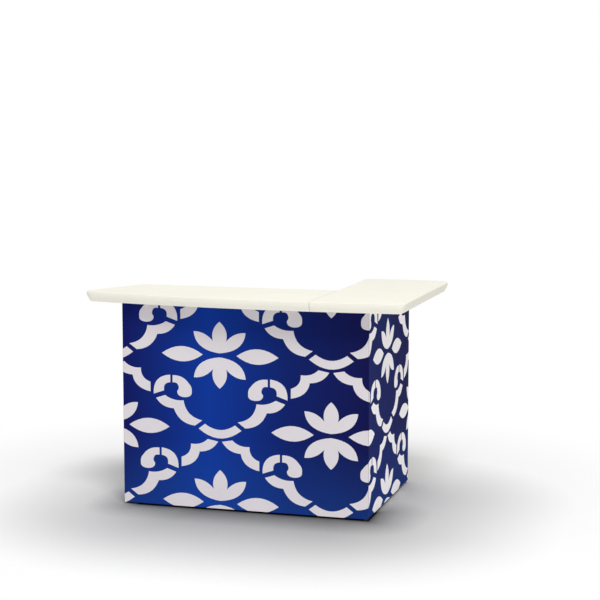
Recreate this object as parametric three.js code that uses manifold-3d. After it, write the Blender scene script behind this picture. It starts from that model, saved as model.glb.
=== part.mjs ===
// Folding portable bar: a shallow bottle cabinet with two hinged wings carries a two-piece L-shaped
// counter top. The wings swing in behind the cabinet once the tops are lifted off.
// Millimetres, Z up, front facing -Y; the origin is on the floor under the middle of the bar.
import * as THREE from "three";
import { mergeVertices } from "three/addons/utils/BufferGeometryUtils.js";
import Module from "manifold-3d";

const wasm = await Module();
wasm.setup();

// Overall sizes
const BAR_HEIGHT = 1067;
const BASE_WIDTH = 1260;
const CABINET_DEPTH = 180;
const RIGHT_DEPTH = 855;
const LEFT_DEPTH = 340;

// Counter top
const TOP_THICKNESS = 50;
const FRONT_OVERHANG = 132;
const FRONT_RADIUS = 5440;
const FRONT_APEX = 878;
const RIGHT_OVERHANG = 194;
const REAR_OVERHANG = 126;
const LEFT_OVERHANG = 209;
const LEFT_SLANT = THREE.MathUtils.degToRad(23.8);
const RETURN_WIDTH = 454;
const COUNTER_REAR = 376;
const FRONT_LEFT_CORNER = 55;
const FRONT_RIGHT_CORNER = 45;
const REAR_RIGHT_CORNER = 80;
const SMALL_CORNER = 25;
const EDGE_BREAK = 3;
const EDGE_BREAK_EASE = 0.3;
const EDGE_TAPER = 15;
const EDGE_BULGE = 0.3;
const EDGE_ROLL = 10;
const TOP_SEAM = 2.5;
const SKIN = 4;
const FRONT_STEPS = 18;
const FRONT_LEFT_STEPS = 9;
const LARGE_CORNER_STEPS = 8;
const SMALL_CORNER_STEPS = 4;
const ROLL_STEPS = 5;

// Moulded tie cones, sockets and vent in the underside of the tops
const CONE_MOUTH = 17;
const CONE_TIP = 9;
const CONE_WALL = 3;
const CONE_SIDES = 8;
const CONE_PITCH = 135;
const CONE_EDGE = 62;
const CONE_CLEARANCE = 2;
const SOCKET_RADIUS = 6.8;
const SOCKET_DEPTH = 24;
const SOCKET_BOSS = 15;
const BOSS_SIDES = 12;
const VENT_RADIUS = 4;
const VENT_SIDES = 8;

// Tube frame
const TUBE = 25;
const TUBE_WALL = 2;
const TUBE_RADIUS = 2;
const PANEL = 4;
const GAP = 0.3;
const WING_SEAM = 1;
const GLIDE_HEIGHT = 8;
const GLIDE_RADIUS = 10.5;
const GLIDE_DRAFT = 1.5;
const GLIDE_SIDES = 20;
const SPIGOT_LENGTH = 30;
const SPIGOT_DRAFT = 0.8;
const PIN_RADIUS = 6;
const PIN_HEIGHT = 18;
const PIN_DRAFT = 1;
const PIN_SIDES = 16;
const FRONT_PANEL_CLEARANCE = 9;
const SIDE_PANEL_CLEARANCE = 14;
const PANEL_TOP_CLEARANCE = 2;

// Shelves
const FLOOR_BOARD = 10;
const BOARD_CLEARANCE = 1;
const SHELF_SHEET = 1.5;
const SHELF_LIP = 20;
const SHELF_CLEARANCE = 1;
const LOWER_SHELF = 388;
const UPPER_SHELF = 677;
const ROD_RADIUS = 4;
const ROD_LIFT = 60;
const ROD_INSERTION = 6;
const ROD_CLEARANCE = 0.4;
const ROD_SIDES = 12;

// Continuous hinges
const KNUCKLES = 11;
const BARREL_SIDES = 10;
const BARREL_RADIUS = 4;
const LEAF = 1.5;
const LEAF_WIDTH = 22;
const HINGE_PIN_RADIUS = 1.7;
const HINGE_CLEARANCE = 0.5;
const HINGE_END = 6;
const KNUCKLE_LAP = 1;
const PIN_HEAD = 2;
const PIN_HEAD_LIP = 1.2;
const PIN_HEAD_CHAMFER = 0.6;

// How far a cutting solid reaches past what it cuts, and how near two vertices count as one
const OVERCUT = 1;
const MERGE_DISTANCE = 1e-4;

// Levels and lines that follow from the sizes above
const UNDERSIDE = BAR_HEIGHT - TOP_THICKNESS;
const FRAME_TOP = UNDERSIDE - GAP;
const FRAME_BOTTOM = GLIDE_HEIGHT;
const INSET = PANEL + GAP;
const LEFT_TUBE = INSET + TUBE / 2;
const RIGHT_TUBE = BASE_WIDTH - LEFT_TUBE;
const FRONT_TUBE = INSET + TUBE / 2;
const REAR_TUBE = CABINET_DEPTH - TUBE / 2;
const TOP_TUBE = FRAME_TOP - TUBE / 2;
const BOTTOM_TUBE = FRAME_BOTTOM + TUBE / 2;
const WING_START = CABINET_DEPTH + WING_SEAM;
const HINGE_LINE = CABINET_DEPTH + WING_SEAM / 2;
const SEAM_X = BASE_WIDTH + RIGHT_OVERHANG - RETURN_WIDTH;
const HINGE_BOTTOM = FRAME_BOTTOM + TUBE + GAP + FLOOR_BOARD + HINGE_END;
const HINGE_TOP = FRAME_TOP - TUBE - HINGE_END;
const ROD_HOLE = ROD_RADIUS + ROD_CLEARANCE;
const CONE_REACH = CONE_MOUTH + CONE_WALL + CONE_CLEARANCE;
const FAR = 10 * BAR_HEIGHT;

const PRINT = new THREE.MeshStandardMaterial({ color: 0x16308a, roughness: 0.4 });
const CREAM = new THREE.MeshStandardMaterial({ color: 0xf6f2e2, roughness: 0.55 });
const ALUMINIUM = new THREE.MeshStandardMaterial({ color: 0xb9bcc0, roughness: 0.35, metalness: 0.9 });
const STEEL = new THREE.MeshStandardMaterial({ color: 0x8d9196, roughness: 0.3, metalness: 1 });
const NYLON = new THREE.MeshStandardMaterial({ color: 0x24262a, roughness: 0.6 });
const BOARD = new THREE.MeshStandardMaterial({ color: 0xe9e6da, roughness: 0.6 });

function solid(geometry) {
  const bare = geometry.clone();
  bare.deleteAttribute("normal");
  bare.deleteAttribute("uv");
  const merged = mergeVertices(bare, MERGE_DISTANCE);
  const mesh = new wasm.Mesh({
    numProp: 3,
    vertProperties: new Float32Array(merged.attributes.position.array),
    triVerts: new Uint32Array(merged.index.array),
  });
  return new wasm.Manifold(mesh);
}

function add(group, name, shape, material) {
  const mesh = shape.getMesh();
  const geometry = new THREE.BufferGeometry();
  geometry.setAttribute("position", new THREE.BufferAttribute(mesh.vertProperties, 3));
  geometry.setIndex(new THREE.BufferAttribute(mesh.triVerts, 1));
  geometry.computeVertexNormals();
  const node = new THREE.Mesh(geometry, material);
  node.name = name;
  group.add(node);
}

function block(x0, x1, y0, y1, z0, z1) {
  const geometry = new THREE.BoxGeometry(x1 - x0, y1 - y0, z1 - z0);
  geometry.translate((x0 + x1) / 2, (y0 + y1) / 2, (z0 + z1) / 2);
  return solid(geometry);
}

function upright(x, y, z0, z1, lowRadius, highRadius, sides) {
  const geometry = new THREE.CylinderGeometry(highRadius, lowRadius, z1 - z0, sides);
  geometry.rotateX(Math.PI / 2);
  geometry.translate(x, y, (z0 + z1) / 2);
  return solid(geometry);
}

function crosswise(x0, x1, y, z, radius, sides) {
  const geometry = new THREE.CylinderGeometry(radius, radius, x1 - x0, sides);
  geometry.rotateZ(Math.PI / 2);
  geometry.translate((x0 + x1) / 2, y, z);
  return solid(geometry);
}

function prism(points, z0, z1) {
  const shape = new THREE.Shape(points.map(([x, y]) => new THREE.Vector2(x, y)));
  const geometry = new THREE.ExtrudeGeometry(shape, { depth: z1 - z0, bevelEnabled: false });
  geometry.translate(0, 0, z0);
  return solid(geometry);
}

function roundedSquare(size, radius) {
  const shape = new THREE.Shape();
  const c = size / 2 - radius;
  shape.absarc(c, c, radius, 0, Math.PI / 2);
  shape.absarc(-c, c, radius, Math.PI / 2, Math.PI);
  shape.absarc(-c, -c, radius, Math.PI, 1.5 * Math.PI);
  shape.absarc(c, -c, radius, 1.5 * Math.PI, 2 * Math.PI);
  shape.closePath();
  return shape;
}

// Square tube between two points that differ along one axis only
function tube(from, to) {
  const start = new THREE.Vector3(...from);
  const run = new THREE.Vector3(...to).sub(start);
  const shape = roundedSquare(TUBE, TUBE_RADIUS);
  shape.holes.push(roundedSquare(TUBE - 2 * TUBE_WALL, TUBE_RADIUS / 2));
  const geometry = new THREE.ExtrudeGeometry(shape, {
    depth: run.length(),
    bevelEnabled: false,
    curveSegments: 1,
  });
  geometry.applyQuaternion(turnTo(run));
  geometry.translate(...from);
  return solid(geometry);
}

function turnTo(direction) {
  const unit = direction.clone().normalize();
  return new THREE.Quaternion().setFromUnitVectors(new THREE.Vector3(0, 0, 1), unit);
}

// Moulded connector: a cube with one tapered spigot for each tube that meets there
function connector(x, y, z, arms) {
  const cube = new THREE.ExtrudeGeometry(roundedSquare(TUBE, TUBE_RADIUS), {
    depth: TUBE,
    bevelEnabled: false,
    curveSegments: 1,
  });
  cube.translate(x, y, z - TUBE / 2);
  let body = solid(cube);
  const side = TUBE - 2 * TUBE_WALL - 2 * GAP;
  for (const arm of arms) {
    const length = TUBE / 2 + SPIGOT_LENGTH;
    const root = side * Math.SQRT1_2;
    const spigot = new THREE.CylinderGeometry(root - SPIGOT_DRAFT, root, length, 4);
    spigot.rotateY(Math.PI / 4);
    spigot.rotateX(Math.PI / 2);
    spigot.translate(0, 0, length / 2);
    spigot.applyQuaternion(turnTo(new THREE.Vector3(...arm)));
    spigot.translate(x, y, z);
    body = body.add(solid(spigot));
  }
  return body;
}

function glide(x, y) {
  const overlap = TUBE / 4;
  return upright(x, y, 0, FRAME_BOTTOM + overlap, GLIDE_RADIUS - GLIDE_DRAFT, GLIDE_RADIUS, GLIDE_SIDES);
}

function locatingPin(x, y) {
  const root = FRAME_TOP - TUBE / 4;
  return upright(x, y, root, FRAME_TOP + PIN_HEIGHT, PIN_RADIUS, PIN_RADIUS - PIN_DRAFT, PIN_SIDES);
}

// Counter top: the plan outline is a ring of points, each with the direction in which the edge profile
// moves it inwards
function arcPoints(cx, cy, radius, from, to, steps) {
  const points = [];
  for (let i = 0; i <= steps; i += 1) {
    const angle = from + ((to - from) * i) / steps;
    const nx = Math.cos(angle);
    const ny = Math.sin(angle);
    points.push({ x: cx + radius * nx, y: cy + radius * ny, inX: -nx, inY: -ny });
  }
  return points;
}

function topOutline() {
  const right = BASE_WIDTH + RIGHT_OVERHANG;
  const rear = RIGHT_DEPTH + REAR_OVERHANG;
  const apexX = FRONT_APEX;
  const centreY = FRONT_RADIUS - FRONT_OVERHANG;

  // Left end: outward normal and the line on which its corner centres lie
  const leftAngle = Math.PI - LEFT_SLANT;
  const outX = Math.cos(leftAngle);
  const outY = Math.sin(leftAngle);
  const alongX = Math.sin(LEFT_SLANT);
  const alongY = Math.cos(LEFT_SLANT);
  const blunt = FRONT_LEFT_CORNER;
  const frontLeft = meetCircle(-LEFT_OVERHANG - blunt * outX, -blunt * outY, alongX, alongY,
    apexX, centreY, FRONT_RADIUS - blunt);
  const turn = FRONT_RIGHT_CORNER;
  const frontRightX = right - turn;
  const frontRightY = centreY - Math.sqrt((FRONT_RADIUS - turn) ** 2 - (frontRightX - apexX) ** 2);
  const rearLeftY = COUNTER_REAR - SMALL_CORNER;
  const run = (rearLeftY + SMALL_CORNER * outY) / alongY;
  const rearLeftX = -LEFT_OVERHANG - SMALL_CORNER * outX + run * alongX;

  const startAngle = Math.atan2(frontLeft.y - centreY, frontLeft.x - apexX) + 2 * Math.PI;
  const endAngle = Math.atan2(frontRightY - centreY, frontRightX - apexX) + 2 * Math.PI;
  const wide = REAR_RIGHT_CORNER;
  const small = SMALL_CORNER;
  return [
    ...arcPoints(frontLeft.x, frontLeft.y, blunt, leftAngle, startAngle, FRONT_LEFT_STEPS),
    ...arcPoints(apexX, centreY, FRONT_RADIUS, startAngle, endAngle, FRONT_STEPS).slice(1, -1),
    ...arcPoints(frontRightX, frontRightY, turn, endAngle, 2 * Math.PI, LARGE_CORNER_STEPS),
    ...arcPoints(right - wide, rear - wide, wide, 0, Math.PI / 2, LARGE_CORNER_STEPS),
    ...arcPoints(SEAM_X + small, rear - small, small, Math.PI / 2, Math.PI, SMALL_CORNER_STEPS),
    { x: SEAM_X, y: COUNTER_REAR, inX: 1, inY: -1 },
    ...arcPoints(rearLeftX, rearLeftY, small, Math.PI / 2, leftAngle, SMALL_CORNER_STEPS),
  ];
}

// Point where a line first meets a circle
function meetCircle(px, py, dx, dy, cx, cy, radius) {
  const fx = px - cx;
  const fy = py - cy;
  const half = fx * dx + fy * dy;
  const reach = -half - Math.sqrt(half ** 2 - (fx ** 2 + fy ** 2 - radius ** 2));
  return { x: px + reach * dx, y: py + reach * dy };
}

// Closed body through rings of the outline, listed from the top down as inset and height
function loft(outline, levels) {
  const count = outline.length;
  const positions = [];
  for (const [inset, z] of levels) {
    for (const p of outline) {
      positions.push(p.x + inset * p.inX, p.y + inset * p.inY, z);
    }
  }
  const index = [];
  for (let level = 0; level + 1 < levels.length; level += 1) {
    for (let i = 0; i < count; i += 1) {
      const next = (i + 1) % count;
      const a = level * count + i;
      const b = level * count + next;
      index.push(a, a + count, b + count, a, b + count, b);
    }
  }
  const last = (levels.length - 1) * count;
  for (const [a, b, c] of ringFaces(positions, 0, count)) {
    index.push(a, b, c);
  }
  for (const [a, b, c] of ringFaces(positions, last, count)) {
    index.push(last + a, last + c, last + b);
  }
  const geometry = new THREE.BufferGeometry();
  geometry.setAttribute("position", new THREE.Float32BufferAttribute(positions, 3));
  geometry.setIndex(index);
  return solid(geometry);
}

function ringFaces(positions, first, count) {
  const ring = [];
  for (let i = 0; i < count; i += 1) {
    const at = (first + i) * 3;
    ring.push(new THREE.Vector2(positions[at], positions[at + 1]));
  }
  return THREE.ShapeUtils.triangulateShape(ring, []);
}

function edgeLevels() {
  const ease = EDGE_BREAK * EDGE_BREAK_EASE;
  const levels = [
    [EDGE_BREAK, BAR_HEIGHT],
    [ease, BAR_HEIGHT - ease],
    [0, BAR_HEIGHT - EDGE_BREAK],
    [EDGE_TAPER * EDGE_BULGE, BAR_HEIGHT - TOP_THICKNESS / 2],
  ];
  for (let i = 0; i <= ROLL_STEPS; i += 1) {
    const angle = (i / ROLL_STEPS) * (Math.PI / 2);
    const inset = EDGE_TAPER + EDGE_ROLL * (1 - Math.cos(angle));
    levels.push([inset, UNDERSIDE + EDGE_ROLL * (1 - Math.sin(angle))]);
  }
  return levels;
}

function cavityLevels() {
  return [
    [SKIN, BAR_HEIGHT - SKIN],
    [EDGE_TAPER + SKIN, UNDERSIDE + EDGE_ROLL],
    [EDGE_TAPER + EDGE_ROLL, UNDERSIDE + SKIN],
  ];
}

// Tie cones in one line, left clear of the bands where the top bears on the frame
function coneRow(from, to, bands) {
  const steps = Math.max(1, Math.round((to - from) / CONE_PITCH));
  const row = [];
  for (let i = 0; i <= steps; i += 1) {
    let at = from + ((to - from) * i) / steps;
    for (const [low, high] of bands) {
      const middle = (low + high) / 2;
      const reach = (high - low) / 2 + CONE_REACH;
      if (Math.abs(at - middle) < reach) {
        at = at < middle ? middle - reach : middle + reach;
      }
    }
    row.push(at);
  }
  return row;
}

// The foremost cone of a column sits between the bowed edge and the front rail, where there is room
function conePattern(columns, rows) {
  const spots = [];
  for (const x of columns) {
    const edge = FRONT_RADIUS - FRONT_OVERHANG - Math.sqrt(FRONT_RADIUS ** 2 - (x - FRONT_APEX) ** 2);
    const foremost = edge + EDGE_TAPER + EDGE_ROLL + CONE_REACH;
    const hindmost = INSET - CONE_REACH;
    if (foremost < hindmost) {
      spots.push([x, (foremost + hindmost) / 2]);
    }
    for (const y of rows) {
      spots.push([x, y]);
    }
  }
  return spots;
}

// The part of the L between two cuts at x0 and x1: a hollow moulding whose skins are joined by ties, with
// cones, pin sockets and a vent open to the underside
function counterTop(x0, x1, cones, sockets, vent) {
  const outline = topOutline();
  const high = 2 * BAR_HEIGHT;
  let body = loft(outline, edgeLevels()).intersect(block(x0, x1, -FAR, FAR, 0, high));
  let cavity = loft(outline, cavityLevels());
  cavity = cavity.intersect(block(x0 + SKIN, x1 - SKIN, -FAR, FAR, 0, high));
  const ties = [];
  const mouths = [];
  const floor = UNDERSIDE - OVERCUT;
  const roof = BAR_HEIGHT - SKIN;
  const tip = roof - CONE_WALL;
  const slope = (CONE_MOUTH - CONE_TIP) / (tip - UNDERSIDE);
  const mouth = CONE_MOUTH + slope * OVERCUT;
  for (const [x, y] of cones) {
    ties.push(upright(x, y, floor, roof + OVERCUT, mouth + CONE_WALL, CONE_TIP + CONE_WALL, CONE_SIDES));
    mouths.push(upright(x, y, floor, tip, mouth, CONE_TIP, CONE_SIDES));
  }
  for (const [x, y] of sockets) {
    ties.push(upright(x, y, floor, roof + OVERCUT, SOCKET_BOSS, SOCKET_BOSS, BOSS_SIDES));
    mouths.push(upright(x, y, floor, UNDERSIDE + SOCKET_DEPTH, SOCKET_RADIUS, SOCKET_RADIUS, PIN_SIDES));
  }
  const [ventX, ventY] = vent;
  mouths.push(upright(ventX, ventY, floor, UNDERSIDE + 2 * SKIN, VENT_RADIUS, VENT_RADIUS, VENT_SIDES));
  for (const tie of ties) {
    cavity = cavity.subtract(tie);
  }
  body = body.subtract(cavity);
  for (const opening of mouths) {
    body = body.subtract(opening);
  }
  return body;
}

// Inner face of the frame that a hinge is screwed to; side is -1 on the left and +1 on the right
function hingeFace(side) {
  return side > 0 ? BASE_WIDTH - INSET - TUBE : INSET + TUBE;
}

function hingeAxis(side) {
  return hingeFace(side) - side * (GAP + BARREL_RADIUS);
}

// Leaf of a continuous hinge with every second knuckle from the first. away is -1 for the fixed leaf, in
// front of the hinge line, and +1 for the wing's leaf behind it
function hingeLeaf(side, first, away) {
  const axisX = hingeAxis(side);
  const z0 = HINGE_BOTTOM;
  const z1 = HINGE_TOP;
  const pitch = (z1 - z0) / KNUCKLES;
  const back = hingeFace(side) - side * GAP;
  const front = back - side * LEAF;
  const xs = [Math.min(back, front), Math.max(back, front)];
  const near = HINGE_LINE + away * (BARREL_RADIUS + HINGE_CLEARANCE);
  const far = HINGE_LINE + away * LEAF_WIDTH;
  let leaf = block(...xs, Math.min(near, far), Math.max(near, far), z0, z1);
  for (let i = first; i < KNUCKLES; i += 2) {
    const low = z0 + i * pitch + HINGE_CLEARANCE / 2;
    const high = z0 + (i + 1) * pitch - HINGE_CLEARANCE / 2;
    const web = near + away * KNUCKLE_LAP;
    leaf = leaf.add(block(...xs, Math.min(HINGE_LINE, web), Math.max(HINGE_LINE, web), low, high));
    leaf = leaf.add(upright(axisX, HINGE_LINE, low, high, BARREL_RADIUS, BARREL_RADIUS, BARREL_SIDES));
  }
  if (away < 0) {
    for (const level of [LOWER_SHELF, UPPER_SHELF]) {
      const z = level + ROD_LIFT;
      leaf = leaf.subtract(crosswise(xs[0] - OVERCUT, xs[1] + OVERCUT, REAR_TUBE, z, ROD_HOLE, ROD_SIDES));
    }
  }
  const bore = HINGE_PIN_RADIUS + HINGE_CLEARANCE;
  return leaf.subtract(upright(axisX, HINGE_LINE, z0 - OVERCUT, z1 + OVERCUT, bore, bore, BARREL_SIDES));
}

function hingePin(side) {
  const z0 = HINGE_BOTTOM - GAP;
  const z1 = HINGE_TOP + GAP;
  const shank = HINGE_PIN_RADIUS;
  const head = shank + PIN_HEAD_LIP;
  const end = head - PIN_HEAD_CHAMFER;
  const lap = PIN_HEAD / 2;
  function turned(low, high, lowRadius, highRadius) {
    return upright(hingeAxis(side), HINGE_LINE, low, high, lowRadius, highRadius, BARREL_SIDES);
  }
  return turned(z0 - lap, z1 + lap, shank, shank)
    .add(turned(z0 - PIN_HEAD, z0, end, head))
    .add(turned(z1, z1 + PIN_HEAD, head, end));
}

// Folded sheet shelf with turned-down lips; its ends reach over the shelf rails between the posts
function shelf(top) {
  const x0 = INSET + TUBE + 2 * BARREL_RADIUS + SHELF_CLEARANCE;
  const x1 = BASE_WIDTH - x0;
  const y0 = INSET + SHELF_CLEARANCE;
  const y1 = CABINET_DEPTH - SHELF_CLEARANCE;
  const under = top - SHELF_SHEET;
  const lip = top - SHELF_LIP;
  let sheet = block(x0, x1, y0, y1, under, top);
  sheet = sheet.add(block(x0, x1, y0, y0 + SHELF_SHEET, lip, top));
  sheet = sheet.add(block(x0, x1, y1 - SHELF_SHEET, y1, lip, top));
  const tab0 = FRONT_TUBE + TUBE / 2 + GAP;
  const tab1 = REAR_TUBE - TUBE / 2 - GAP;
  const end = INSET + SHELF_CLEARANCE;
  return sheet.add(block(end, BASE_WIDTH - end, tab0, tab1, under, top));
}

function floorBoard() {
  const notch = INSET + TUBE + GAP;
  const low = INSET + BOARD_CLEARANCE;
  const high = BASE_WIDTH - low;
  const front = INSET + BOARD_CLEARANCE;
  const back = CABINET_DEPTH - BOARD_CLEARANCE;
  const rearNotch = CABINET_DEPTH - TUBE - GAP;
  const z = FRAME_BOTTOM + TUBE + GAP;
  const points = [
    [notch, front], [BASE_WIDTH - notch, front], [BASE_WIDTH - notch, notch], [high, notch],
    [high, rearNotch], [BASE_WIDTH - notch, rearNotch], [BASE_WIDTH - notch, back], [notch, back],
    [notch, rearNotch], [low, rearNotch], [low, notch], [notch, notch],
  ];
  return prism(points, z, z + FLOOR_BOARD);
}

function cabinet() {
  const group = new THREE.Group();
  group.name = "cabinet";
  const panelTop = FRAME_TOP - PANEL_TOP_CLEARANCE;
  const frontPoints = [[0, 0], [BASE_WIDTH, 0], [BASE_WIDTH - PANEL, PANEL], [PANEL, PANEL]];
  add(group, "front_panel", prism(frontPoints, FRONT_PANEL_CLEARANCE, panelTop), PRINT);
  const leftPoints = [[0, GAP], [PANEL, PANEL + GAP], [PANEL, CABINET_DEPTH], [0, CABINET_DEPTH]];
  add(group, "left_return_panel", prism(leftPoints, SIDE_PANEL_CLEARANCE, panelTop), PRINT);
  const rightPoints = leftPoints.map(([x, y]) => [BASE_WIDTH - x, y]).reverse();
  add(group, "right_return_panel", prism(rightPoints, SIDE_PANEL_CLEARANCE, panelTop), PRINT);

  const lowEnd = FRAME_BOTTOM + TUBE + GAP;
  const highEnd = FRAME_TOP - TUBE - GAP;
  const sides = { left: LEFT_TUBE, right: RIGHT_TUBE };
  const depths = { front: FRONT_TUBE, rear: REAR_TUBE };
  const levels = { bottom: BOTTOM_TUBE, top: TOP_TUBE };
  const start = LEFT_TUBE + TUBE / 2 + GAP;
  const frontEnd = FRONT_TUBE + TUBE / 2 + GAP;
  const rearEnd = REAR_TUBE - TUBE / 2 - GAP;

  for (const [side, x] of Object.entries(sides)) {
    for (const [depth, y] of Object.entries(depths)) {
      let post = tube([x, y, lowEnd], [x, y, highEnd]);
      if (depth === "rear") {
        const inward = side === "left" ? 1 : -1;
        const wall = x + (inward * TUBE) / 2;
        for (const level of [LOWER_SHELF, UPPER_SHELF]) {
          const z = level + ROD_LIFT;
          const hole = crosswise(wall - 2 * TUBE_WALL, wall + TUBE_WALL, y, z, ROD_HOLE, ROD_SIDES);
          post = post.subtract(hole);
        }
      }
      add(group, `${side}_${depth}_post`, post, ALUMINIUM);
      for (const [level, z] of Object.entries(levels)) {
        const arms = [
          [side === "left" ? 1 : -1, 0, 0],
          [0, depth === "front" ? 1 : -1, 0],
          [0, 0, level === "bottom" ? 1 : -1],
        ];
        const extra = level === "bottom" ? glide(x, y) : locatingPin(x, y);
        add(group, `${side}_${depth}_${level}_corner`, connector(x, y, z, arms).add(extra), NYLON);
      }
    }
    for (const [level, z] of Object.entries(levels)) {
      add(group, `${side}_${level}_return_rail`, tube([x, frontEnd, z], [x, rearEnd, z]), ALUMINIUM);
    }
    for (const [level, top] of [["lower", LOWER_SHELF], ["upper", UPPER_SHELF]]) {
      const z = top - SHELF_SHEET - GAP - TUBE / 2;
      add(group, `${side}_${level}_shelf_rail`, tube([x, frontEnd, z], [x, rearEnd, z]), ALUMINIUM);
    }
  }
  for (const [depth, y] of Object.entries(depths)) {
    for (const [level, z] of Object.entries(levels)) {
      const rail = tube([start, y, z], [BASE_WIDTH - start, y, z]);
      add(group, `${depth}_${level}_rail`, rail, ALUMINIUM);
    }
  }

  add(group, "floor_board", floorBoard(), BOARD);
  const rodStart = INSET + TUBE - TUBE_WALL - ROD_INSERTION;
  for (const [level, top] of [["lower", LOWER_SHELF], ["upper", UPPER_SHELF]]) {
    add(group, `${level}_shelf`, shelf(top), BOARD);
    const z = top + ROD_LIFT;
    const rod = crosswise(rodStart, BASE_WIDTH - rodStart, REAR_TUBE, z, ROD_RADIUS, ROD_SIDES);
    add(group, `${level}_bottle_rail`, rod, STEEL);
  }
  for (const [side, sign] of [["left", -1], ["right", 1]]) {
    add(group, `${side}_hinge_fixed_leaf`, hingeLeaf(sign, 0, -1), STEEL);
    add(group, `${side}_hinge_pin`, hingePin(sign), STEEL);
  }
  return group;
}

function wing(side, depth, middleRail) {
  const group = new THREE.Group();
  group.name = `${side}_wing`;
  const sign = side === "left" ? -1 : 1;
  const x = side === "left" ? LEFT_TUBE : RIGHT_TUBE;
  const outer = side === "left" ? 0 : BASE_WIDTH - PANEL;
  const front = WING_START + TUBE / 2;
  const rear = depth - TUBE / 2;
  const panel = block(outer, outer + PANEL, WING_START, depth, SIDE_PANEL_CLEARANCE,
    FRAME_TOP - PANEL_TOP_CLEARANCE);
  add(group, `${side}_wing_panel`, panel, PRINT);
  const half = TUBE / 2 + GAP;
  for (const [name, y, toward] of [["front", front, 1], ["rear", rear, -1]]) {
    const stile = tube([x, y, BOTTOM_TUBE + half], [x, y, TOP_TUBE - half]);
    add(group, `${side}_wing_${name}_stile`, stile, ALUMINIUM);
    const low = connector(x, y, BOTTOM_TUBE, [[0, toward, 0], [0, 0, 1]]).add(glide(x, y));
    add(group, `${side}_wing_${name}_bottom_corner`, low, NYLON);
    const high = connector(x, y, TOP_TUBE, [[0, toward, 0], [0, 0, -1]]);
    add(group, `${side}_wing_${name}_top_corner`, high, NYLON);
  }
  const rails = [["bottom", BOTTOM_TUBE], ["top", TOP_TUBE]];
  if (middleRail) {
    rails.push(["middle", (BOTTOM_TUBE + TOP_TUBE) / 2]);
  }
  for (const [name, z] of rails) {
    const rail = tube([x, front + half, z], [x, rear - half, z]);
    add(group, `${side}_wing_${name}_rail`, rail, ALUMINIUM);
  }
  add(group, `${side}_hinge_wing_leaf`, hingeLeaf(sign, 1, 1), STEEL);
  return group;
}

function tops() {
  const group = new THREE.Group();
  group.name = "counter_tops";
  const outline = topOutline();
  const rails = [[FRONT_TUBE - TUBE / 2, FRONT_TUBE + TUBE / 2], [REAR_TUBE - TUBE / 2, CABINET_DEPTH]];
  const wingBands = [[RIGHT_TUBE - TUBE / 2, RIGHT_TUBE + TUBE / 2]];
  const returnBand = [[LEFT_TUBE - TUBE / 2, LEFT_TUBE + TUBE / 2]];
  const mainColumns = coneRow(CONE_EDGE / 2, SEAM_X - CONE_EDGE, returnBand);
  const mainRows = coneRow(CABINET_DEPTH / 2, COUNTER_REAR - CONE_EDGE, rails);
  const main = counterTop(-FAR, SEAM_X - TOP_SEAM / 2, conePattern(mainColumns, mainRows),
    [[LEFT_TUBE, FRONT_TUBE], [LEFT_TUBE, REAR_TUBE]], [SEAM_X / 2, COUNTER_REAR - CONE_EDGE / 2]);
  add(group, "main_top", main, CREAM);
  const sideColumns = coneRow(SEAM_X + CONE_EDGE, BASE_WIDTH + RIGHT_OVERHANG - CONE_EDGE, wingBands);
  const sideRows = coneRow(CABINET_DEPTH / 2, RIGHT_DEPTH + REAR_OVERHANG - CONE_EDGE, rails);
  const side = counterTop(SEAM_X + TOP_SEAM / 2, FAR, conePattern(sideColumns, sideRows),
    [[RIGHT_TUBE, FRONT_TUBE], [RIGHT_TUBE, REAR_TUBE]], [RIGHT_TUBE, RIGHT_DEPTH + REAR_OVERHANG / 2]);
  add(group, "side_top", side, CREAM);

  const xs = outline.map((p) => p.x);
  const ys = outline.map((p) => p.y);
  const middleX = (Math.min(...xs) + Math.max(...xs)) / 2;
  const middleY = (Math.min(...ys) + Math.max(...ys)) / 2;
  return { group, middleX, middleY };
}

const bar = new THREE.Group();
bar.name = "folding_portable_bar";
const placed = tops();
const parts = [
  cabinet(),
  wing("right", RIGHT_DEPTH, true),
  wing("left", LEFT_DEPTH, false),
  placed.group,
];
for (const part of parts) {
  part.position.set(-placed.middleX, -placed.middleY, 0);
  bar.add(part);
}

export default bar;
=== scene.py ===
# Folding portable bar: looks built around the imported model. Metres, Z up, front facing -Y.
import math

import bmesh
import bpy
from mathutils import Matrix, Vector


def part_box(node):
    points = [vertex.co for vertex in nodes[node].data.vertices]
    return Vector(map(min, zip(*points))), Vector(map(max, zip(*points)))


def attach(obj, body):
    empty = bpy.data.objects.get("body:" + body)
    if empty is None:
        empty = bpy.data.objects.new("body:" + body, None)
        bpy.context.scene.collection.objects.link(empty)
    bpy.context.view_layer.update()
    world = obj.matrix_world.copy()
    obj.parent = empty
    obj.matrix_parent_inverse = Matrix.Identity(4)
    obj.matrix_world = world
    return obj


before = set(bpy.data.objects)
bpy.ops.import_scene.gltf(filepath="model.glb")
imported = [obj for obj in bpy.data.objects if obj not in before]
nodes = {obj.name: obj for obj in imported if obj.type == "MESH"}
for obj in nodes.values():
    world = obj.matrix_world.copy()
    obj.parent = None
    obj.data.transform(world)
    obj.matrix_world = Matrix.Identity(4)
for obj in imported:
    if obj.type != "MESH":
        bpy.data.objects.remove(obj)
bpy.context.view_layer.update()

MM = 0.001
UP = Vector((0, 0, 1))
WHITE = (1.0, 1.0, 1.0, 1.0)
FRONT_LOW, FRONT_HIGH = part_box("front_panel")
BASE_X = FRONT_LOW.x
BASE_Y = FRONT_LOW.y
BASE_WIDTH = FRONT_HIGH.x - BASE_X

# Camera of the photograph, measured from the foot of the base's front left corner
CAMERA_OFFSET = Vector((3.0743, -7.2402, 1.940))
CAMERA_YAW = math.radians(16.584)
CAMERA_PITCH = math.radians(6.657)
CAMERA_LENS = 95.46
CAMERA_SENSOR = 36.0
CAMERA_REACH = 100.0


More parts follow.
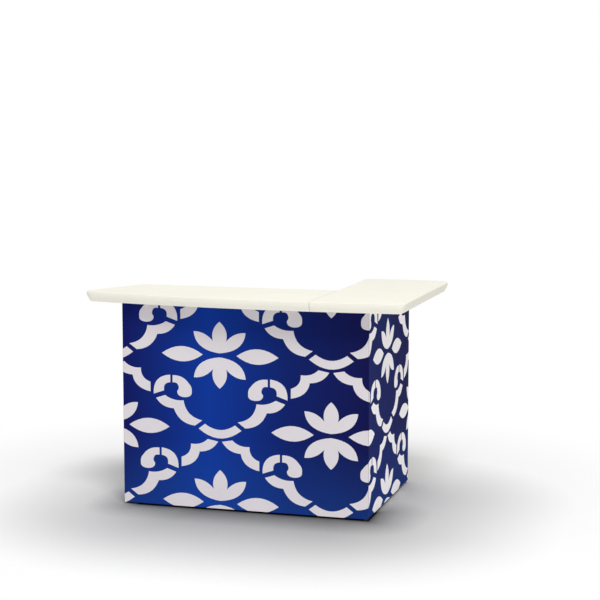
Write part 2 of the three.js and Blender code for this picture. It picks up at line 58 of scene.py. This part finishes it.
def new_object(name, data):
    obj = bpy.data.objects.new(name, data)
    bpy.context.scene.collection.objects.link(obj)
    return obj


def mesh_object(name, mesh, material):
    """New object from a finished bmesh, which is freed."""
    data = bpy.data.meshes.new(name)
    mesh.to_mesh(data)
    mesh.free()
    data.materials.append(material)
    return new_object(name, data)


def add_camera():
    data = bpy.data.cameras.new("camera")
    data.lens = CAMERA_LENS
    data.sensor_width = CAMERA_SENSOR
    data.clip_end = CAMERA_REACH
    camera = new_object("camera", data)
    camera.location = Vector((BASE_X, BASE_Y, 0.0)) + CAMERA_OFFSET
    camera.rotation_euler = (math.pi / 2 - CAMERA_PITCH, 0.0, CAMERA_YAW)
    bpy.context.scene.camera = camera


class Graph:
    """Nodes of a material or the world. An input takes a plain value or the socket that feeds it."""

    def __init__(self, tree):
        self.tree = tree

    def feed(self, node, inputs):
        for key, value in inputs.items():
            if isinstance(value, bpy.types.NodeSocket):
                self.tree.links.new(value, node.inputs[key])
            else:
                node.inputs[key].default_value = value

    def node(self, kind, inputs, **settings):
        node = self.tree.nodes.new(f"ShaderNode{kind}")
        for key, value in settings.items():
            setattr(node, key, value)
        self.feed(node, inputs)
        return node

    def object_point(self):
        return self.node("TexCoord", {}).outputs["Object"]

    def math(self, operation, first, second):
        return self.node("Math", {0: first, 1: second}, operation=operation).outputs["Value"]

    def vector(self, operation, *operands):
        node = self.node("VectorMath", dict(enumerate(operands)), operation=operation)
        return node.outputs["Value" if operation == "LENGTH" else "Vector"]

    def remap(self, value, source, target, interpolation="LINEAR"):
        """A value of the source range, taken to the target range and held at its ends."""
        inputs = {"Value": value}
        inputs["From Min"], inputs["From Max"] = source
        inputs["To Min"], inputs["To Max"] = target
        return self.node("MapRange", inputs, interpolation_type=interpolation).outputs["Result"]

    def mix_shaders(self, share, first, second):
        return self.node("MixShader", {0: share, 1: first, 2: second}).outputs["Shader"]


class Shader(Graph):
    """Principled material with its detail in the object's own coordinates."""

    def __init__(self, name, tint, metallic=0.0):
        self.material = bpy.data.materials.new(name)
        self.material.use_nodes = True
        super().__init__(self.material.node_tree)
        self.bsdf = self.tree.nodes["Principled BSDF"]
        self.feed(self.bsdf, {"Base Color": (*tint, 1.0), "Metallic": metallic})
        self.point = self.object_point()

    def noise(self, scale, detail=2.0, stretch=(1.0, 1.0, 1.0)):
        place = self.node("Mapping", {"Vector": self.point, "Scale": stretch}).outputs["Vector"]
        inputs = {"Vector": place, "Scale": scale, "Detail": detail}
        return self.node("TexNoise", inputs).outputs["Fac"]

    def spots(self, scale):
        return self.node("TexVoronoi", {"Vector": self.point, "Scale": scale}).outputs["Distance"]

    def ramp(self, factor, stops):
        ramp = self.node("ValToRGB", {"Fac": factor})
        elements = ramp.color_ramp.elements
        while len(elements) < len(stops):
            elements.new(0.5)
        for element, (position, tint) in zip(elements, stops):
            element.position = position
            element.color = (*tint, 1.0)
        return ramp.outputs["Color"]

    def color(self, socket):
        self.feed(self.bsdf, {"Base Color": socket})

    def mottle(self, factor, tint, share, dark_to=0.3, full_from=0.7):
        """Colour that goes from a darker share of the tint to the tint as the factor rises."""
        dark = tuple(channel * share for channel in tint)
        self.color(self.ramp(factor, [(dark_to, dark), (full_from, tint)]))

    def rough(self, factor, low, high):
        self.feed(self.bsdf, {"Roughness": self.remap(factor, (0.0, 1.0), (low, high))})

    def bump(self, height, strength, depth):
        inputs = {"Height": height, "Strength": strength, "Distance": depth}
        self.feed(self.bsdf, {"Normal": self.node("Bump", inputs).outputs["Normal"]})


def cream_material():
    tint = (0.925, 0.905, 0.80)
    shader = Shader("cream_polyethylene", tint)
    shader.mottle(shader.noise(scale=3.0, detail=3.0), tint, share=0.97)
    shader.bump(shader.spots(scale=450.0), strength=0.7, depth=0.4 * MM)
    shader.rough(shader.noise(scale=9.0), low=0.46, high=0.58)
    shader.feed(shader.bsdf, {"IOR": 1.5, "Specular IOR Level": 0.02})
    return shader.material


# Brushed metal: noise that is fine across the piece and drawn out along it
TUBE_ALONG = 2.0
TUBE_ACROSS = 260.0
STEEL_BRUSH = (300.0, 300.0, 20.0)


def aluminium_material(axis):
    tint = (0.60, 0.61, 0.625)
    shader = Shader(f"anodised_aluminium_{axis}", tint, metallic=1.0)
    stretch = tuple(TUBE_ALONG if letter == axis else TUBE_ACROSS for letter in "xyz")
    streaks = shader.noise(scale=4.0, detail=3.0, stretch=stretch)
    shader.mottle(streaks, tint, share=0.9)
    shader.rough(streaks, low=0.28, high=0.42)
    shader.bump(streaks, strength=0.12, depth=0.2 * MM)
    return shader.material


def steel_material():
    tint = (0.50, 0.51, 0.52)
    shader = Shader("brushed_steel", tint, metallic=1.0)
    streaks = shader.noise(scale=3.0, detail=3.0, stretch=STEEL_BRUSH)
    shader.mottle(streaks, tint, share=0.85, full_from=0.75)
    shader.rough(streaks, low=0.24, high=0.4)
    return shader.material


def nylon_material():
    shader = Shader("black_nylon", (0.022, 0.023, 0.026))
    shader.bump(shader.noise(scale=900.0), strength=0.25, depth=0.3 * MM)
    shader.rough(shader.noise(scale=30.0), low=0.42, high=0.6)
    return shader.material


def coat_material(name, tint):
    shader = Shader(name, tint)
    shader.mottle(shader.noise(scale=6.0, detail=3.0), tint, share=0.95)
    shader.bump(shader.noise(scale=500.0, detail=1.0), strength=0.15, depth=0.3 * MM)
    shader.rough(shader.noise(scale=12.0), low=0.4, high=0.55)
    return shader.material


# Painted light: the printed blue goes over into a lighter one towards the floor
PAINTED_LIGHT_BLUE = (0.013, 0.07, 0.33, 1.0)
PAINTED_LIGHT_SHARE = 0.38
PAINTED_LIGHT_HEIGHT = 0.36

# Colour sockets of a Mix node
MIX_FIRST = 6
MIX_SECOND = 7
MIX_RESULT = 2


def ground_material(name, axis, start, stops):
    """Printed blue with painted light and shade: stops along one axis over the width of the base
    make it lighter and darker, and a lighter blue mixed in towards the floor is painted light too.
    """
    shader = Shader(name, stops[1][1])
    split = shader.node("SeparateXYZ", {"Vector": shader.point}).outputs
    along = shader.remap(split[axis], (start, start + BASE_WIDTH), (0.0, 1.0))
    # painted light: a lighter blue towards the floor
    share = shader.remap(split["Z"], (0.0, PAINTED_LIGHT_HEIGHT), (PAINTED_LIGHT_SHARE, 0.0))
    blues = {"Factor": share, MIX_FIRST: shader.ramp(along, stops), MIX_SECOND: PAINTED_LIGHT_BLUE}
    shader.color(shader.node("Mix", blues, data_type="RGBA").outputs[MIX_RESULT])
    shader.rough(shader.noise(scale=14.0), low=0.42, high=0.52)
    shader.feed(shader.bsdf, {"Specular IOR Level": 0.004})
    return shader.material


def ink_material(name, tint, gloss):
    shader = Shader(name, tint)
    shader.mottle(shader.noise(scale=5.0), tint, share=0.97)
    shader.rough(shader.noise(scale=20.0), low=0.45, high=0.55)
    shader.feed(shader.bsdf, {"Specular IOR Level": gloss})
    return shader.material


CREAM = cream_material()
ALUMINIUM = {axis: aluminium_material(axis) for axis in "xyz"}
STEEL = steel_material()
NYLON = nylon_material()
SHELF_COAT = coat_material("shelf_powder_coat", (0.78, 0.765, 0.70))
BOARD = coat_material("floor_board_laminate", (0.74, 0.72, 0.65))
CORE = coat_material("panel_core", (0.78, 0.78, 0.79))
# Printed blue with a painted highlight across the front and painted shade towards its ends; the
# sides are painted lighter near the front
FRONT_BLUES_PAINTED_LIGHT = [
    (0.0, (0.007, 0.010, 0.10)),
    (0.36, (0.006, 0.037, 0.29)),
    (0.68, (0.0065, 0.0165, 0.13)),
    (1.0, (0.0075, 0.0085, 0.068))]
SIDE_BLUES_PAINTED_LIGHT = [
    (0.0, (0.0095, 0.017, 0.118)),
    (0.25, (0.0075, 0.0145, 0.118)),
    (0.5, (0.0065, 0.0105, 0.095)),
    (0.7, (0.0065, 0.0095, 0.082))]
FRONT_GROUND_PAINTED_LIGHT = ground_material("printed_ground_front_painted_light", "X", BASE_X, FRONT_BLUES_PAINTED_LIGHT)
SIDE_GROUND_PAINTED_LIGHT = ground_material("printed_ground_side_painted_light", "Y", BASE_Y, SIDE_BLUES_PAINTED_LIGHT)
# One white print in two copies: darker on the front as painted shade, lighter on the sides as
# painted light
FRONT_INK_PAINTED_SHADE = ink_material("printed_white_front_painted_shade", (0.685, 0.65, 0.68), gloss=0.15)
SIDE_INK_PAINTED_LIGHT = ink_material("printed_white_side_painted_light", (0.96, 0.925, 0.95), gloss=1.0)

# Material and edge rounding of a node by the end of its name; the rest are tubes, rounded already
FINISHES = {
    "_top": (CREAM, 1.2 * MM),
    "_corner": (NYLON, 0.6 * MM),
    "_leaf": (STEEL, 0.25 * MM),
    "_pin": (STEEL, 0.25 * MM),
    "_bottle_rail": (STEEL, 0.25 * MM),
    "_shelf": (SHELF_COAT, 0.5 * MM),
    "_board": (BOARD, 0.8 * MM)}
WELD_REACH = 0.01 * MM
FLAT_WITHIN = math.radians(0.3)
EDGE_FROM = math.radians(50)
ROUNDING_STEPS = 2


def use_materials(node, *materials):
    slots = nodes[node].data.materials
    slots.clear()
    for material in materials:
        slots.append(material)


def soften(node, width):
    """Merged faces, lightly rounded edges and smooth shading; the node's own vertices stay."""
    obj = nodes[node]
    attributes = obj.data.attributes
    if "custom_normal" in attributes:
        attributes.remove(attributes["custom_normal"])
    obj.data.polygons.foreach_set("use_smooth", [True] * len(obj.data.polygons))
    weld = obj.modifiers.new("weld", "WELD")
    weld.merge_threshold = WELD_REACH
    flat = obj.modifiers.new("flat", "DECIMATE")
    flat.decimate_type = "DISSOLVE"
    flat.angle_limit = FLAT_WITHIN
    if width:
        bevel = obj.modifiers.new("edges", "BEVEL")
        bevel.width = width
        bevel.segments = ROUNDING_STEPS
        bevel.limit_method = "ANGLE"
        bevel.angle_limit = EDGE_FROM
    normals = obj.modifiers.new("normals", "WEIGHTED_NORMAL")
    normals.keep_sharp = False


def long_axis(node):
    low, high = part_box(node)
    size = high - low
    return "xyz"[max(range(3), key=lambda i: size[i])]


def finish_of(node):
    for ending, finish in FINISHES.items():
        if node.endswith(ending):
            return finish
    return ALUMINIUM[long_axis(node)], 0.0


def dress_nodes():
    for node in nodes:
        if not node.endswith("_panel"):
            material, width = finish_of(node)
            use_materials(node, material)
            soften(node, width)


# Printed trellis: every motif piece is a closed path in millimetres about a flower's centre. A path
# lists its start and then, for each stretch, the point halfway along the curve (None if straight)
# and the end.
PALMETTE = [
    (0, 165), ((33, 121), (34, 69)), ((80, 104), (134, 114)), ((96, 42), (0, 10)),
    ((-96, 42), (-134, 114)), ((-80, 104), (-34, 69)), ((-33, 121), (0, 165))]
LEAF = [(87, 0), ((194, 38), (301, 0)), ((194, -38), (87, 0))]
SMILE = [
    (-78, -343), ((0, -370), (78, -343)), (None, (111, -368)), ((0, -412), (-111, -368)),
    (None, (-78, -343))]
LOWER_BAND = [
    (92, -327), ((159, -296), (189, -232)), ((240, -230), (286, -210)), (None, (334, -226)),
    ((295, -262), (241, -274)), ((199, -332), (130, -355)), (None, (92, -327))]
UPPER_BAND = [
    (10, 307), (None, (64, 317)), ((103, 293), (152, 289)), ((163, 246), (202, 220)),
    (None, (202, 172)), ((136, 199), (107, 252)), ((50, 267), (10, 307))]
SCROLL_RING = [
    (258, -107), ((327, -136), (346, -206)), (None, (291, -187)), ((286, -157), (258, -145)),
    (None, (258, -107))]
SCROLL_BULB = [
    (246, -109), ((196, -117), (159, -149)), ((148, -166), (146, -187)), ((154, -208), (184, -216)),
    ((213, -208), (222, -187)), ((214, -173), (216, -160)), ((226, -147), (246, -145)),
    (None, (246, -109))]


def flipped(path, x=1, y=1):
    def flip(point):
        return None if point is None else (x * point[0], y * point[1])
    return [flip(path[0])] + [(flip(mid), flip(end)) for mid, end in path[1:]]


MOTIF = [PALMETTE, flipped(PALMETTE, y=-1), LEAF, flipped(LEAF, x=-1), SMILE]
for half in (LOWER_BAND, UPPER_BAND, SCROLL_RING, SCROLL_BULB):
    MOTIF += [half, flipped(half, x=-1)]

# The motif repeats in columns, every second one half a row lower. One flower's centre is given on
# the developed print, which runs round the base from the foot of its front left corner.
FLOWER_X = 509.0
FLOWER_Y = 773.0
COLUMN = 565.0
ROW = 735.0
ROWS = range(-2, 3)
CURVE_STEPS = 9
FILM_LIFT = 0.05 * MM
FILM = 0.2 * MM
FILM_EDGE = 1.0 * MM
BACK_FACING = -0.9


class PrintSide:
    """One side of the base: where the developed print starts there, which way it runs and faces."""

    def __init__(self, origin, along, outward, ground, ink, margin=0.0):
        self.origin = Vector(origin)
        self.along = Vector(along)
        self.outward = Vector(outward)
        self.ground = ground
        self.ink = ink
        self.margin = margin

    def point(self, s, z, lift):
        return self.origin + s * self.along + z * UP + lift * self.outward

    def corners(self, node):
        """Lowest and highest corner of a panel on the developed print, in millimetres."""
        low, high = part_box(node)
        first, last = sorted((corner - self.origin).dot(self.along) for corner in (low, high))
        return ((first + self.margin) / MM, low.z / MM), ((last - self.margin) / MM, high.z / MM)


def trace(path):
    """Points along a closed path, its curves drawn in short straight steps."""
    points = [path[0]]
    for mid, end in path[1:]:
        start = points[-1]
        if mid is None:
            points.append(end)
            continue
        bend = [2 * m - (a + b) / 2 for m, a, b in zip(mid, start, end)]
        for i in range(1, CURVE_STEPS + 1):
            t = i / CURVE_STEPS
            points.append(tuple(
                (1 - t) ** 2 * a + 2 * t * (1 - t) * c + t ** 2 * b
                for a, c, b in zip(start, bend, end)))
    return points[:-1]


def add_motifs(mesh, low, high):
    """Flat motifs in every column that reaches between two corners of the print."""
    first = math.floor((low[0] - FLOWER_X) / COLUMN) - 1
    last = math.ceil((high[0] - FLOWER_X) / COLUMN) + 1
    for column in range(first, last + 1):
        x = FLOWER_X + column * COLUMN
        drop = ROW / 2 if column % 2 else 0.0
        for row in ROWS:
            y = FLOWER_Y - drop + row * ROW
            for path in MOTIF:
                mesh.faces.new([mesh.verts.new((x + dx, y + dy, 0.0)) for dx, dy in trace(path)])


def clip(mesh, low, high):
    """Cuts off what lies outside the rectangle between two corners of the print."""
    for corner, normal in (
            (low, (-1, 0, 0)), (low, (0, -1, 0)), (high, (1, 0, 0)), (high, (0, 1, 0))):
        geometry = mesh.verts[:] + mesh.edges[:] + mesh.faces[:]
        bmesh.ops.bisect_plane(
            mesh, geom=geometry, plane_co=(*corner, 0.0), plane_no=normal, clear_outer=True)


def thicken(mesh, side):
    """Turns the flat motifs into a thin closed film on one side of the base."""
    for face in mesh.faces:
        face.normal_update()
        if face.normal.z < 0:
            face.normal_flip()
    bmesh.ops.triangulate(mesh, faces=mesh.faces[:])
    made = bmesh.ops.extrude_face_region(mesh, geom=mesh.faces[:])["geom"]
    raised = {item for item in made if isinstance(item, bmesh.types.BMVert)}
    for vert in mesh.verts:
        lift = FILM_LIFT + (FILM if vert in raised else 0.0)
        vert.co = side.point(vert.co.x * MM, vert.co.y * MM, lift)
    bmesh.ops.recalc_face_normals(mesh, faces=mesh.faces[:])


def print_film(name, body, side, low, high):
    mesh = bmesh.new()
    add_motifs(mesh, low, high)
    clip(mesh, low, high)
    thicken(mesh, side)
    film = mesh_object(name, mesh, side.ink)
    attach(film, body)


def dress_panel(node, side):
    """Printed ground with its painted light on the outer face and wrapped round the edges, plain
    core on the back.
    """
    use_materials(node, side.ground, CORE)
    for face in nodes[node].data.polygons:
        face.material_index = 1 if face.normal.dot(side.outward) < BACK_FACING else 0


def dress_panels():
    corner = (BASE_X, BASE_Y, 0.0)
    turned = (BASE_X + BASE_WIDTH, BASE_Y - BASE_WIDTH, 0.0)
    front = PrintSide(corner, (1, 0, 0), (0, -1, 0), FRONT_GROUND_PAINTED_LIGHT, FRONT_INK_PAINTED_SHADE, FILM_EDGE)
    right = PrintSide(turned, (0, 1, 0), (1, 0, 0), SIDE_GROUND_PAINTED_LIGHT, SIDE_INK_PAINTED_LIGHT)
    left = PrintSide(corner, (0, -1, 0), (-1, 0, 0), SIDE_GROUND_PAINTED_LIGHT, SIDE_INK_PAINTED_LIGHT)
    for panel, body, side in (
            ("front", "cabinet", front),
            ("right_return", "cabinet", right),
            ("right_wing", "right_wing", right),
            ("left_return", "cabinet", left),
            ("left_wing", "left_wing", left)):
        node = f"{panel}_panel"
        dress_panel(node, side)
        print_film(f"{panel}_print", body, side, *side.corners(node))


# Screws: a low pan head with a recess, as rings of (radius, height) in millimetres from its seat
HEAD = [(3.4, 0.0), (3.4, 0.7), (3.0, 1.3), (2.2, 1.6), (1.5, 1.6), (1.5, 0.6)]
HEAD_SIDES = 12
LEAF_SHEET = 1.5 * MM
LEAF_SCREW_INSET = 8.7 * MM
ROD_KEEP = 16 * MM

# Rows of screws: how many, and how far the outer ones are from the ends of the piece
LEAF_ROW = (9, 30 * MM)
STILE_ROW = (5, 90 * MM)
RAIL_ROWS = {"right": (4, 45 * MM), "left": (2, 45 * MM)}
POST_ROW = (4, 140 * MM)
SHELF_ROW = (2, 30 * MM)
HEADER_ROW = (7, 70 * MM)
WING_RAILS = {"right": ("top", "bottom", "middle"), "left": ("top", "bottom")}
INWARD = {"right": Vector((-1, 0, 0)), "left": Vector((1, 0, 0))}
BACKWARD = Vector((0, 1, 0))


def add_head(mesh, seat, facing):
    turn = facing.to_track_quat("Z", "Y").to_matrix().to_4x4()
    turn.translation = Vector(seat)
    rings = []
    for radius, height in HEAD:
        ring = []
        for i in range(HEAD_SIDES):
            angle = 2 * math.pi * i / HEAD_SIDES
            point = Vector((radius * math.cos(angle), radius * math.sin(angle), height)) * MM
            ring.append(mesh.verts.new(turn @ point))
        rings.append(ring)
    for lower, upper in zip(rings, rings[1:]):
        for i in range(HEAD_SIDES):
            j = (i + 1) % HEAD_SIDES
            mesh.faces.new((lower[i], lower[j], upper[j], upper[i])).smooth = True
    mesh.faces.new(rings[-1])
    mesh.faces.new(rings[0][::-1])


def screw_heads(name, body, screws):
    """One mesh of screw heads; each screw is a seat point and the direction that its head faces."""
    mesh = bmesh.new()
    for seat, facing in screws:
        add_head(mesh, seat, facing)
    heads = mesh_object(name, mesh, STEEL)
    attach(heads, body)


def spread(low, high, row):
    count, margin = row
    step = (high - low - 2 * margin) / (count - 1)
    return [low + margin + step * i for i in range(count)]


def middle(node):
    low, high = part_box(node)
    return (low + high) / 2


def inner_face(side, node):
    """Where a node's face towards the middle of the bar lies along X."""
    low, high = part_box(node)
    return low.x if side == "right" else high.x


def clear_of_rods(z):
    for rod in ("lower_bottle_rail", "upper_bottle_rail"):
        level = middle(rod).z
        if abs(z - level) < ROD_KEEP:
            return level - ROD_KEEP if z < level else level + ROD_KEEP
    return z


def hinge_screws(side):
    """Screws of the fixed leaf, which keep clear of the bottle rails, and of the wing's leaf."""
    low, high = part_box(f"{side}_hinge_fixed_leaf")
    sheet = high.x - LEAF_SHEET if side == "right" else low.x + LEAF_SHEET
    front = low.y + LEAF_SCREW_INSET
    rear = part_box(f"{side}_hinge_wing_leaf")[1].y - LEAF_SCREW_INSET
    heights = spread(low.z, high.z, LEAF_ROW)
    fixed = [((sheet, front, clear_of_rods(z)), INWARD[side]) for z in heights]
    wing = [((sheet, rear, z), INWARD[side]) for z in heights]
    return fixed, wing


def wing_frame_screws(side):
    """Screws that hold a wing's panel to its rear stile and rails."""
    stile = f"{side}_wing_rear_stile"
    face = inner_face(side, stile)
    low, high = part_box(stile)
    seats = [(face, middle(stile).y, z) for z in spread(low.z, high.z, STILE_ROW)]
    for place in WING_RAILS[side]:
        rail = f"{side}_wing_{place}_rail"
        low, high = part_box(rail)
        seats += [(face, y, middle(rail).z) for y in spread(low.y, high.y, RAIL_ROWS[side])]
    return [(seat, INWARD[side]) for seat in seats]


def cabinet_side_screws(side):
    """Screws on the back of the front post and through the shelves into their rails."""
    post = f"{side}_front_post"
    low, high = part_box(post)
    screws = [((middle(post).x, high.y, z), BACKWARD) for z in spread(low.z, high.z, POST_ROW)]
    for shelf in ("lower_shelf", "upper_shelf"):
        rail = f"{side}_{shelf}_rail"
        low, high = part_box(rail)
        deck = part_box(shelf)[1].z
        screws += [((middle(rail).x, y, deck), UP) for y in spread(low.y, high.y, SHELF_ROW)]
    return screws


def add_screws():
    cabinet = []
    for side in ("right", "left"):
        fixed, wing = hinge_screws(side)
        cabinet += fixed + cabinet_side_screws(side)
        screw_heads(f"{side}_wing_screws", f"{side}_wing", wing + wing_frame_screws(side))
    header = "front_top_rail"
    low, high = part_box(header)
    for x in spread(low.x, high.x, HEADER_ROW):
        cabinet.append(((x, high.y, middle(header).z), BACKWARD))
    screw_heads("cabinet_screws", "cabinet", cabinet)


# Floor: paper with a painted shadow, greyer in a pool round the base and dark right at the cabinet's
# foot, that goes over into white further out
FLOOR_REACH = 30.0
PAPER = 0.98
PAINTED_SHADOW_MIDDLE = (BASE_X + BASE_WIDTH / 2 + 0.10, BASE_Y + 0.17, 0.0)
PAINTED_SHADOW_HALF = (0.35, 0.28, 0.0)
PAINTED_SHADOW_REACH = 1.11
PAINTED_SHADOW_TONE = 0.40
PAINTED_CONTACT_REACH = 0.27
PAINTED_CONTACT_SHADE = 0.04
PAINTED_CONTACT_CURVE = 0.42
PAINTED_CONTACT_INSET = 0.07
WHITE_FROM = 1.1
WHITE_FULL = 2.4
ZERO = (0.0, 0.0, 0.0)

# Light: an even sky and one large lamp high up in front, a little to the right
SKY = 0.57
LAMP_PLACE = Vector((2.9, -6.6, 11.1))
LAMP_TARGET = Vector((0.0, 0.0, 0.6))
LAMP_SIZE = 5.0
LAMP_WATTS = 860.0


def seen_rays(graph):
    """1 for camera, glossy and transmitted rays, which see the white surroundings."""
    rays = graph.node("LightPath", {}).outputs
    seen = rays["Is Camera Ray"]
    for kind in ("Is Glossy Ray", "Is Transmission Ray"):
        seen = graph.math("MAXIMUM", seen, rays[kind])
    return seen


def distance_beyond(graph, point, centre, half):
    """Distance from a rectangle on the floor, 0 inside it."""
    offset = graph.vector("SUBTRACT", point, centre)
    beyond = graph.vector("SUBTRACT", graph.vector("ABSOLUTE", offset), half)
    return graph.vector("LENGTH", graph.vector("MAXIMUM", beyond, ZERO))


def painted_shadow_tone(graph, point):
    """Painted shadow: grey that lightens with the distance from the base."""
    distance = distance_beyond(graph, point, PAINTED_SHADOW_MIDDLE, PAINTED_SHADOW_HALF)
    return graph.remap(distance, (0.0, PAINTED_SHADOW_REACH), (PAINTED_SHADOW_TONE, PAPER))


def painted_contact_shadow(graph, point):
    """Painted contact shadow: share of the tone that is left at the cabinet's foot; it soon rises to
    1. The painted dark part starts further in on the left, where the lamp's own shadow falls."""
    low = FRONT_LOW.xy + Vector((PAINTED_CONTACT_INSET, 0.0))
    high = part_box("right_return_panel")[1].xy
    centre = (*((low + high) / 2), 0.0)
    half = (*((high - low) / 2), 0.0)
    distance = distance_beyond(graph, point, centre, half)
    rise = graph.remap(distance, (0.0, PAINTED_CONTACT_REACH), (0.0, 1.0))
    curve = graph.math("POWER", rise, PAINTED_CONTACT_CURVE)
    return graph.remap(curve, (0.0, 1.0), (PAINTED_CONTACT_SHADE, 1.0))


def floor_material():
    """Seen rays meet the painted shadow and the white beyond; the floor lights the object as plain
    paper.
    """
    material = bpy.data.materials.new("floor_paper")
    material.use_nodes = True
    material.node_tree.nodes.clear()
    graph = Graph(material.node_tree)
    point = graph.object_point()
    seen = seen_rays(graph)
    bounce = graph.math("SUBTRACT", PAPER, seen)
    # painted shadow: the grey pool times the painted contact shadow
    grey = graph.math("MULTIPLY", painted_shadow_tone(graph, point), painted_contact_shadow(graph, point))
    tone = graph.math("MAXIMUM", grey, bounce)
    paper = graph.node("BsdfDiffuse", {"Color": tone}).outputs["BSDF"]
    white = graph.node("Emission", {"Color": WHITE, "Strength": 1.0}).outputs["Emission"]
    distance = graph.vector("LENGTH", point)
    fade = graph.remap(distance, (WHITE_FROM, WHITE_FULL), (0.0, 1.0), "SMOOTHSTEP")
    surface = graph.mix_shaders(graph.math("MULTIPLY", fade, seen), paper, white)
    graph.node("OutputMaterial", {"Surface": surface})
    return material


def add_stage():
    mesh = bmesh.new()
    bmesh.ops.create_grid(mesh, x_segments=1, y_segments=1, size=FLOOR_REACH)
    mesh_object("floor", mesh, floor_material())


def light_scene():
    world = bpy.data.worlds.new("studio")
    world.use_nodes = True
    graph = Graph(world.node_tree)
    sky = graph.tree.nodes["Background"]
    graph.feed(sky, {"Color": WHITE, "Strength": SKY})
    white = graph.node("Background", {"Color": WHITE, "Strength": 1.0})
    surface = graph.mix_shaders(
        seen_rays(graph), sky.outputs["Background"], white.outputs["Background"])
    graph.feed(graph.tree.nodes["World Output"], {"Surface": surface})
    bpy.context.scene.world = world


def add_lamp():
    data = bpy.data.lights.new("key", "AREA")
    data.shape = "DISK"
    data.size = LAMP_SIZE
    data.energy = LAMP_WATTS
    lamp = new_object("key", data)
    lamp.location = LAMP_PLACE
    lamp.rotation_euler = (LAMP_TARGET - LAMP_PLACE).to_track_quat("-Z", "Y").to_euler()


add_camera()
dress_nodes()
dress_panels()
add_screws()
add_stage()
light_scene()
add_lamp()
bpy.context.scene.view_settings.view_transform = "Standard"
